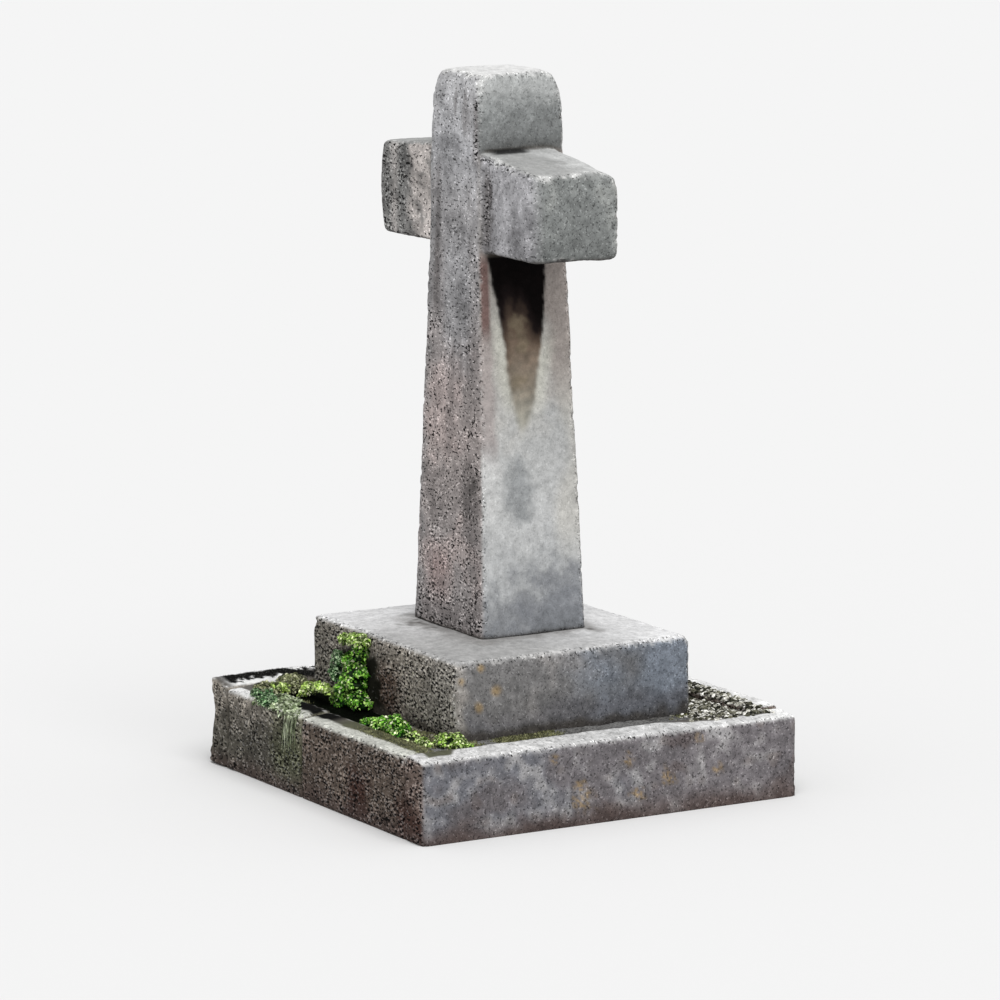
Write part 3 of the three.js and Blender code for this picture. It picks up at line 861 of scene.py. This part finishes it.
soil = hewn_copy("earth_bed", EARTH_CELL)
soil_points = read_points(soil.data)
soil_top = upper_faces(soil.data, (0.5, 0.9), (EARTH_TOP - 0.02, EARTH_TOP - 0.01))
crumbled = CRUMBS * (ripple(soil_points, 0.07, 71) + 0.6 * ripple(soil_points, 0.022, 72))
write_points(soil.data, soil_points + np.outer(crumbled * soil_top, (0, 0, 1)))
keep_paint(soil.data, *paint_earth(soil_points))
hand_over(soil, "earth_bed", make_earth("crumbly earth"))


# Gravel: loose stones washed out of the earth, thick in the far corner of the plot on the near side
# and thin elsewhere. They lie half sunk in the soil.
GRAVEL_CORNER = (0.47, 0.5)
PEBBLE_DENSITY = 13000.0
PEBBLE_SHADES = (
    (0, (0.006, 0.006, 0.004)), (0.3, (0.03, 0.03, 0.018)), (0.5, (0.17, 0.165, 0.12)),
    (0.75, (0.5, 0.49, 0.44)), (1, (0.9, 0.89, 0.84)),
)


def make_scatter():
    """Tree that grows copies of a shape on a mesh, as many as its cover attribute asks for."""
    tree, given, result = make_group("scatter", "Geometry", {
        "Geometry": "Geometry", "Object": "Shape", "Material": "Finish",
        "Float": "Density Smallest Largest Upright Lean Turn", "Int": "Seed",
    }, {"Geometry": "Geometry"})

    def any_value(low, high, step):
        inputs = {2: low, 3: high, 8: calc(tree, "ADD", given["Seed"], step)}
        return place(tree, "FunctionNodeRandomValue", inputs, data_type="FLOAT").outputs[1]

    cover = place(tree, "GeometryNodeInputNamedAttribute", {"Name": "cover"}, data_type="FLOAT").outputs[0]
    points = place(tree, "GeometryNodeDistributePointsOnFaces", {
        "Mesh": given["Geometry"],
        "Density": calc(tree, "MULTIPLY", cover, given["Density"]),
        "Seed": given["Seed"],
    }, distribute_method="RANDOM").outputs
    raised = place(tree, "ShaderNodeMix", {0: given["Upright"], 4: points["Normal"], 5: (0, 0, 1)},
                   data_type="VECTOR").outputs[1]
    stand = place(tree, "FunctionNodeAlignRotationToVector", {"Vector": raised}, axis="Z").outputs[0]
    away = calc(tree, "MULTIPLY", given["Turn"], -1)
    back = calc(tree, "MULTIPLY", given["Lean"], -1)
    tilt = place(tree, "ShaderNodeCombineXYZ", {
        "X": any_value(back, given["Lean"], 1),
        "Y": any_value(back, given["Lean"], 2),
        "Z": any_value(away, given["Turn"], 3),
    }).outputs[0]
    tilt = place(tree, "FunctionNodeEulerToRotation", {0: tilt}).outputs[0]
    turned = place(tree, "FunctionNodeRotateRotation", {0: stand, 1: tilt}, rotation_space="LOCAL")
    shape = place(tree, "GeometryNodeObjectInfo", {"Object": given["Shape"], "As Instance": True})
    copies = place(tree, "GeometryNodeInstanceOnPoints", {
        "Points": points["Points"],
        "Instance": shape.outputs["Geometry"],
        "Rotation": turned.outputs[0],
        "Scale": any_value(given["Smallest"], given["Largest"], 4),
    }).outputs[0]
    tinted = place(tree, "GeometryNodeStoreNamedAttribute",
                   {"Geometry": copies, "Name": "tint", 3: any_value(0.0, 1.0, 5)},
                   data_type="FLOAT", domain="INSTANCE").outputs[0]
    real = place(tree, "GeometryNodeRealizeInstances", {"Geometry": tinted}).outputs[0]
    finished = place(tree, "GeometryNodeSetMaterial", {"Geometry": real, "Material": given["Finish"]})
    wire(tree, result, {0: finished.outputs[0]})
    return tree


scatter_tree = make_scatter()


def scatter(name, carrier, cover, shape, finish, **settings):
    """Grows copies of a shape on a carrier mesh where its cover is above 0, as one plain mesh."""
    ground = carrier.copy()
    for old in ("weather", "bare"):
        if old in ground.attributes:
            ground.attributes.remove(ground.attributes[old])
    shown = ground.attributes.new("cover", "FLOAT", "POINT")
    shown.data.foreach_set("value", cover.astype(np.float32))
    piece = show_object(name, ground)
    model = show_object(name + "_shape", shape)
    growth = piece.modifiers.new("scatter", "NODES")
    growth.node_group = scatter_tree
    given = {"Upright": 1.0, "Turn": math.pi, "Shape": model, "Finish": finish, **settings}
    for socket in scatter_tree.interface.items_tree:
        if socket.name in given:
            growth[socket.identifier] = given[socket.name]
    settle(piece)
    bpy.data.objects.remove(model)
    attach(piece, "root")
    return piece


def make_tinted(name, shades, roughness, mottle_size):
    """Finish of many small things: each has its own tint from the steps, with a fine mottle. On the weeds'
    leaves the steps run from painted shade to painted highlight, and the mottle adds painted light and shade
    in clusters.
    """
    finish, tree, surface = new_finish(name, shine=0.2, roughness=roughness)
    ramp = place(tree, "ShaderNodeValToRGB", {0: attribute(tree, "tint", "Fac")})
    steps = ramp.color_ramp.elements
    while len(steps) < len(shades):
        steps.new(0.5)
    for step, (position, colour) in zip(steps, shades):
        step.position = position
        step.color = (*colour, 1)
    where = place(tree, "ShaderNodeTexCoord").outputs["Object"]
    level = remap(tree, mottle(tree, where, 1 / mottle_size, 3), 0.33, 0.67, 0.3, 1.8)
    wire(tree, surface, {
        "Base Color": vector_calc(tree, "SCALE", {0: ramp.outputs["Color"], "Scale": level}),
    })
    return finish


def shell_mesh(name, shell):
    """Mesh of a closed shell, with its faces turned outwards."""
    bmesh.ops.recalc_face_normals(shell, faces=shell.faces)
    mesh = bpy.data.meshes.new(name)
    shell.to_mesh(mesh)
    shell.free()
    mesh.shade_smooth()
    return mesh


def pebble_mesh():
    """Broken stone of unit size with twenty faces."""
    shell = bmesh.new()
    bmesh.ops.create_icosphere(shell, subdivisions=1, radius=0.5)
    for corner in shell.verts:
        corner.co *= 1 + 0.35 * noise.noise(corner.co * 4)
        corner.co.z *= 0.7
    mesh = shell_mesh("pebble", shell)
    mesh.shade_flat()
    return mesh


def gravel_corner(points):
    """1 in the far corner of the plot, where gravel lies thick, falling to 0 away from it."""
    x, y = points.T[:2]
    away = np.hypot(x - GRAVEL_CORNER[0], 1.4 * (y - GRAVEL_CORNER[1]))
    return np.maximum(fade(away, 0.24, 0.1), 0.06 * fade(x, 0.45, 0.5) * fade(y, 0.2, 0.4))


pebble = pebble_mesh()
pebble_finish = make_tinted("gravel", PEBBLE_SHADES, roughness=0.8, mottle_size=0.006)
gravel_beds = {"gravel": (soil.data, gravel_corner(soil_points) * soil_top)}
for kerb_name in ("kerb_back", "kerb_right"):
    rim = kerb_stones[kerb_name].data
    rim_points = read_points(rim)
    rim_cover = spilt_earth(rim_points, ripple(rim_points, 0.045, 62))
    rim_cover *= fade(rim_points[:, 0], -0.05, 0.15) * fade(rim_points[:, 1], 0.3, 0.45)
    gravel_beds["gravel_" + kerb_name] = (rim, rim_cover * upper_faces(rim, (0.5, 0.9), (0.2, 0.21)))
for order, (gravel_name, (gravel_bed, gravel_cover)) in enumerate(gravel_beds.items()):
    gravel = scatter(gravel_name, gravel_bed, gravel_cover, pebble.copy(), pebble_finish,
                     Density=PEBBLE_DENSITY, Smallest=0.005, Largest=0.021, Lean=0.6, Seed=5 + order)
bpy.data.meshes.remove(pebble)


# Moss: olive cushions of short shoots that grow on the earth behind the front kerb, along the near
# side of the plinth and in the far corners, with a fringe on the front rim. The left rim carries
# ragged patches of dead black moss.
SHOOT_DENSITY = 60000.0
RIM_HEIGHT = (KERB_TOP - 0.04, KERB_TOP - 0.02)
# Cushions as (x, y, radius).
MOSS_PLACES = (
    (-0.59, -0.4, 0.07), (-0.5, -0.53, 0.07), (-0.3, -0.59, 0.06), (0.52, -0.25, 0.09), (0.5, -0.14, 0.08),
    (0.56, -0.12, 0.04), (0.49, 0.375, 0.035), (0.42, -0.5, 0.1), (0.3, -0.48, 0.09), (0.53, -0.42, 0.07),
)
MOSS_SHADES = ((0, (0.03, 0.032, 0.012)), (0.5, (0.1, 0.102, 0.045)), (1, (0.25, 0.25, 0.13)))
DEAD_SHADES = ((0, (0.001, 0.001, 0.001)), (0.7, (0.008, 0.008, 0.007)), (1, (0.12, 0.12, 0.11)))


def shoot_mesh():
    """Short pointed moss shoot of unit height."""
    shell = bmesh.new()
    bmesh.ops.create_cone(shell, cap_ends=True, segments=4, radius1=0.3, radius2=0, depth=1)
    return shell_mesh("moss shoot", shell)


moss_cover = spots(*soil_points.T[:2], MOSS_PLACES, 0.5 * ripple(soil_points, 0.05, 75), rim=1, core=0.5)
moss_finish = make_tinted("moss", MOSS_SHADES, roughness=0.9, mottle_size=0.02)
moss = scatter("moss", soil.data, moss_cover * soil_top, shoot_mesh(), moss_finish,
               Density=SHOOT_DENSITY, Smallest=0.007, Largest=0.015, Lean=0.6, Seed=3)
front_rim = kerb_stones["kerb_front_right"].data
front_points = read_points(front_rim)
fringe = spilt_earth(front_points, ripple(front_points, 0.03, 76)) * fade(front_points[:, 0], 0.12, 0.25)
fringe *= upper_faces(front_rim, (0.5, 0.9), RIM_HEIGHT)
scatter("rim_moss", front_rim, fringe, shoot_mesh(), moss_finish,
        Density=SHOOT_DENSITY, Smallest=0.004, Largest=0.011, Lean=0.8, Seed=7)
left_rim = kerb_stones["kerb_left"].data
dead_cover = black_moss(read_points(left_rim)) * upper_faces(left_rim, (0.4, 0.9), RIM_HEIGHT)
dead_finish = make_tinted("black moss", DEAD_SHADES, roughness=0.9, mottle_size=0.02)
scatter("black_moss", left_rim, dead_cover, shoot_mesh(), dead_finish,
        Density=SHOOT_DENSITY, Smallest=0.002, Largest=0.009, Lean=0.8, Seed=4)


# Weeds: a small-leaved creeping plant that has climbed the front of the plinth, with a dusty mound and
# an arching shoot of it behind the front kerb, yellower clumps along it and dry leaf litter beside
# them. Their roots are in the earth.
LEAF_DENSITY = 60000.0
# How far the dark stem shells, which also stand in for shade, sit under the leaves.
STEM_AND_SHADE_DEPTH = 0.008
LEAF_STATIONS = (0.15, 0.5, 0.82)
LEAF_FOLD = 0.3
LEAF_HALF_THICK = 0.015
WEED_LUMP_SIZE = 0.035
WEED_LUMPS = 0.016
# Leafy bodies as (x, y, z, half width, half depth, half height).
CLIMBER = (
    (-0.118, -0.446, 0.442, 0.034, 0.026, 0.026), (-0.142, -0.448, 0.408, 0.052, 0.03, 0.032),
    (-0.138, -0.45, 0.372, 0.058, 0.033, 0.036), (-0.147, -0.452, 0.335, 0.058, 0.034, 0.036),
    (-0.17, -0.455, 0.305, 0.055, 0.036, 0.034), (-0.19, -0.462, 0.272, 0.055, 0.036, 0.03),
    (-0.125, -0.458, 0.29, 0.05, 0.034, 0.03), (-0.085, -0.456, 0.278, 0.03, 0.024, 0.022),
    (0.13, -0.54, 0.258, 0.04, 0.026, 0.014), (0.18, -0.53, 0.264, 0.042, 0.03, 0.022),
    (0.22, -0.51, 0.276, 0.042, 0.03, 0.03), (0.265, -0.52, 0.27, 0.042, 0.03, 0.028),
    (0.31, -0.54, 0.262, 0.035, 0.025, 0.018),
)
MOUND = (
    (-0.425, -0.634, 0.266, 0.045, 0.026, 0.02), (-0.35, -0.655, 0.26, 0.06, 0.03, 0.02),
    (-0.262, -0.442, 0.39, 0.034, 0.016, 0.034), (-0.268, -0.443, 0.335, 0.036, 0.018, 0.034),
)
LITTER = (
    (-0.475, -0.505, 0.264, 0.06, 0.038, 0.02), (-0.55, -0.46, 0.264, 0.05, 0.05, 0.022),
    (-0.43, -0.59, 0.264, 0.035, 0.026, 0.016), (-0.49, -0.58, 0.266, 0.06, 0.045, 0.018),
)
CLUMPS = (
    (0.37, -0.535, 0.26, 0.035, 0.025, 0.014), (0.5, -0.468, 0.268, 0.05, 0.04, 0.028),
    (0.56, -0.452, 0.264, 0.035, 0.028, 0.018), (0.45, -0.53, 0.26, 0.03, 0.025, 0.012),
    (-0.18, -0.445, 0.466, 0.045, 0.026, 0.02), (-0.115, -0.447, 0.472, 0.05, 0.03, 0.02),
)
ARCH = (
    (-0.45, -0.563, 0.277, 0.04, 0.024, 0.018), (-0.392, -0.503, 0.25, 0.02, 0.015, 0.014),
    (-0.37, -0.5, 0.272, 0.024, 0.016, 0.014), (-0.34, -0.5, 0.288, 0.026, 0.016, 0.014),
    (-0.302, -0.5, 0.298, 0.028, 0.016, 0.014), (-0.262, -0.5, 0.3, 0.028, 0.016, 0.014),
    (-0.228, -0.498, 0.296, 0.022, 0.014, 0.01),
)
# Leaf tints from the darkest step to the brightest: the darkest steps are painted shade for the gaps between
# leaves, the brightest are painted highlights on lit leaves, and the steps between are the leaves' own
# colours.
CLIMBER_SHADE_TO_HIGHLIGHT = (
    (0, (0.003, 0.022, 0.001)), (0.3, (0.055, 0.24, 0.012)), (0.6, (0.23, 0.58, 0.05)),
    (0.82, (0.56, 0.88, 0.21)), (1, (1, 1, 0.75)),
)
MOUND_SHADE_TO_HIGHLIGHT = ((0, (0.003, 0.02, 0.004)), (0.5, (0.12, 0.28, 0.1)), (1, (0.68, 0.85, 0.56)))
LITTER_SHADE_TO_HIGHLIGHT = ((0, (0.012, 0.014, 0.004)), (0.5, (0.22, 0.24, 0.11)), (1, (0.62, 0.62, 0.42)))
CLUMP_SHADE_TO_HIGHLIGHT = ((0, (0.006, 0.02, 0.002)), (0.5, (0.3, 0.5, 0.075)), (1, (0.95, 1, 0.6)))
ARCH_SHADE_TO_HIGHLIGHT = ((0, (0.06, 0.11, 0.018)), (0.5, (0.57, 0.8, 0.18)), (1, (1, 1, 0.7)))


def leaf_mesh(name, width, path):
    """Closed thin leaf of unit length along a path, which gives (along, up) for a share of the length."""
    shell = bmesh.new()
    rings = []
    for share in LEAF_STATIONS:
        half = 0.5 * width * math.sin(math.pi * share ** 0.8)
        along, up = path(share)
        fold = LEAF_FOLD * half
        offsets = ((half, fold), (0, LEAF_HALF_THICK), (-half, fold), (0, -LEAF_HALF_THICK))
        rings.append([shell.verts.new((across, along, up + lift)) for across, lift in offsets])
    base, tip = (shell.verts.new((0, *path(share))) for share in (0, 1))
    for ring, after in zip(rings, rings[1:]):
        for side in range(4):
            beside = (side + 1) % 4
            shell.faces.new((ring[side], ring[beside], after[beside], after[side]))
    for side in range(4):
        beside = (side + 1) % 4
        shell.faces.new((base, rings[0][beside], rings[0][side]))
        shell.faces.new((tip, rings[-1][side], rings[-1][beside]))
    return shell_mesh(name, shell)


def leafy_bodies(name, places):
    """Round bodies on which leaves grow, joined as one mesh, and the share of leaves on each point."""
    shell = bmesh.new()
    for x, y, z, wide, deep, high in places:
        stretch = Matrix.Translation((x, y, z)) @ Matrix.Diagonal((wide, deep, high, 1))
        bmesh.ops.create_icosphere(shell, subdivisions=4, radius=1, matrix=stretch)
    mesh = shell_mesh(name, shell)
    points, normals = read_points(mesh), read_normals(mesh)
    lumpy = ripple(points, WEED_LUMP_SIZE, 81)
    write_points(mesh, points + normals * (WEED_LUMPS * lumpy)[:, None])
    gaps = fade(lumpy + 0.6 * ripple(points, 0.018, 82), -0.45, 0.1)
    return mesh, gaps * fade(normals[:, 2], -0.6, 0) * fade(points[:, 2], EARTH_TOP - 0.005, EARTH_TOP)


def flat_path(share):
    return share, -0.25 * share ** 2


leaf = leaf_mesh("leaf", 0.75, flat_path)
for order, (weed_name, weed_bodies, weed_shade_to_highlight) in enumerate((
    ("climbing_weed", CLIMBER, CLIMBER_SHADE_TO_HIGHLIGHT),
    ("weed_mound", MOUND, MOUND_SHADE_TO_HIGHLIGHT),
    ("leaf_litter", LITTER, LITTER_SHADE_TO_HIGHLIGHT),
    ("weed_clumps", CLUMPS, CLUMP_SHADE_TO_HIGHLIGHT),
    ("weed_arch", ARCH, ARCH_SHADE_TO_HIGHLIGHT),
)):
    weed_carrier, weed_cover = leafy_bodies(weed_name + "_stems", weed_bodies)
    # Each leaf takes a tint between painted shade and painted highlight.
    weed_finish = make_tinted(weed_name + " leaf", weed_shade_to_highlight, roughness=0.5, mottle_size=0.03)
    scatter(weed_name, weed_carrier, weed_cover, leaf.copy(), weed_finish,
            Density=LEAF_DENSITY, Smallest=0.005, Largest=0.014, Upright=0.35, Lean=0.8, Seed=11 + order)
    # The bodies, sunk a little under the leaves in the darkest tint, are the stems and also painted shade
    # seen through the gaps between the leaves.
    stems_and_shade = show_object(weed_name + "_stems", weed_carrier)
    write_points(stems_and_shade.data, read_points(stems_and_shade.data) - STEM_AND_SHADE_DEPTH * read_normals(stems_and_shade.data))
    stems_and_shade.data.materials.append(weed_finish)
    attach(stems_and_shade, "root")


# Grass: thin pale blades rooted in the joint of the front kerb, hanging over its rim and down its
# face, and short turf that has crept over the rim beside them.
TURF_DENSITY = 90000.0
GRASS_DENSITY = 22000.0
TURF_SHADES = ((0, (0.08, 0.11, 0.045)), (0.5, (0.32, 0.4, 0.22)), (1, (0.75, 0.8, 0.62)))
GRASS_SHADES = ((0, (0.1, 0.13, 0.06)), (0.5, (0.27, 0.32, 0.19)), (1, (0.6, 0.65, 0.48)))
GRASS_REACH = (-0.17, -0.1)
GRASS_HEIGHT = (KERB_TOP - 0.03, KERB_TOP - 0.02)


def hanging_path(share):
    return -0.16 * share ** 0.5, 0.1 * share - 0.95 * share ** 2


grass_carrier = kerb_stones["kerb_front_left"].data
rim_x, rim_y, rim_z = read_points(grass_carrier).T
grass_cover = band(rim_x, *GRASS_REACH, 0.02) * fade(rim_z, *GRASS_HEIGHT)
grass_cover *= fade(rim_y, KERB_LOW.y + 0.04, KERB_LOW.y + 0.02)
turf_cover = fade(rim_x, -0.42, -0.38) * fade(rim_x + 1.7 * (rim_y - KERB_LOW.y), -0.09, -0.12)
turf_cover *= upper_faces(grass_carrier, (0.3, 0.8), GRASS_HEIGHT)
turf_finish = make_tinted("turf blade", TURF_SHADES, roughness=0.7, mottle_size=0.02)
scatter("rim_turf", grass_carrier, turf_cover, leaf.copy(), turf_finish,
        Density=TURF_DENSITY, Smallest=0.006, Largest=0.016, Upright=0.6, Lean=0.9, Seed=19)
scatter("hanging_grass", grass_carrier, grass_cover, leaf_mesh("grass blade", 0.022, hanging_path),
        make_tinted("grass blade", GRASS_SHADES, roughness=0.6, mottle_size=0.02),
        Density=GRASS_DENSITY, Smallest=0.05, Largest=0.16, Lean=0.12, Turn=0.5, Seed=21)


# Studio: a plain pale floor under an even white sky, with one wide soft light from above and beside
# the near end, and a long lens that looks at the front corner from a little above.
FLOOR_SPAN = 160
FLOOR_WHITE = (0.8, 0.8, 0.8, 1)
SKY_STRENGTH = 0.58
LIGHT_FROM = (0.5, -0.1, 0.86)
LIGHT_STRENGTH = 2.05
LIGHT_SPREAD = math.radians(50)
CAMERA_PLACE = (16.91268, -9.76381, 4.43349)
CAMERA_TURN = math.radians(59.991)
CAMERA_RISE = math.radians(10.2325)
CAMERA_ROLL = -0.0046
LENS = 224.308

scene = bpy.context.scene
bpy.ops.mesh.primitive_plane_add(size=FLOOR_SPAN)
floor = bpy.context.object
floor.name = "floor"
floor_finish, floor_tree, floor_surface = new_finish("pale floor", shine=0)
wire(floor_tree, floor_surface, {"Base Color": FLOOR_WHITE})
floor.data.materials.append(floor_finish)

sky = bpy.data.worlds.new("white sky")
sky.use_nodes = True
wire(sky.node_tree, sky.node_tree.nodes["Background"], {"Color": (1, 1, 1, 1), "Strength": SKY_STRENGTH})
scene.world = sky

light = show_object("wide light", bpy.data.lights.new("wide light", "SUN"))
light.data.energy = LIGHT_STRENGTH
light.data.angle = LIGHT_SPREAD
light.rotation_euler = Vector(LIGHT_FROM).to_track_quat("Z", "Y").to_euler()

camera = show_object("camera", bpy.data.cameras.new("camera"))
camera.data.lens = LENS
camera.data.clip_end = 2 * FLOOR_SPAN
camera.matrix_world = (
    Matrix.Translation(CAMERA_PLACE)
    @ Matrix.Rotation(CAMERA_TURN, 4, "Z")
    @ Matrix.Rotation(math.pi / 2 - CAMERA_RISE, 4, "X")
    @ Matrix.Rotation(CAMERA_ROLL, 4, "Z")
)
scene.camera = camera
scene.view_settings.view_transform = "Standard"
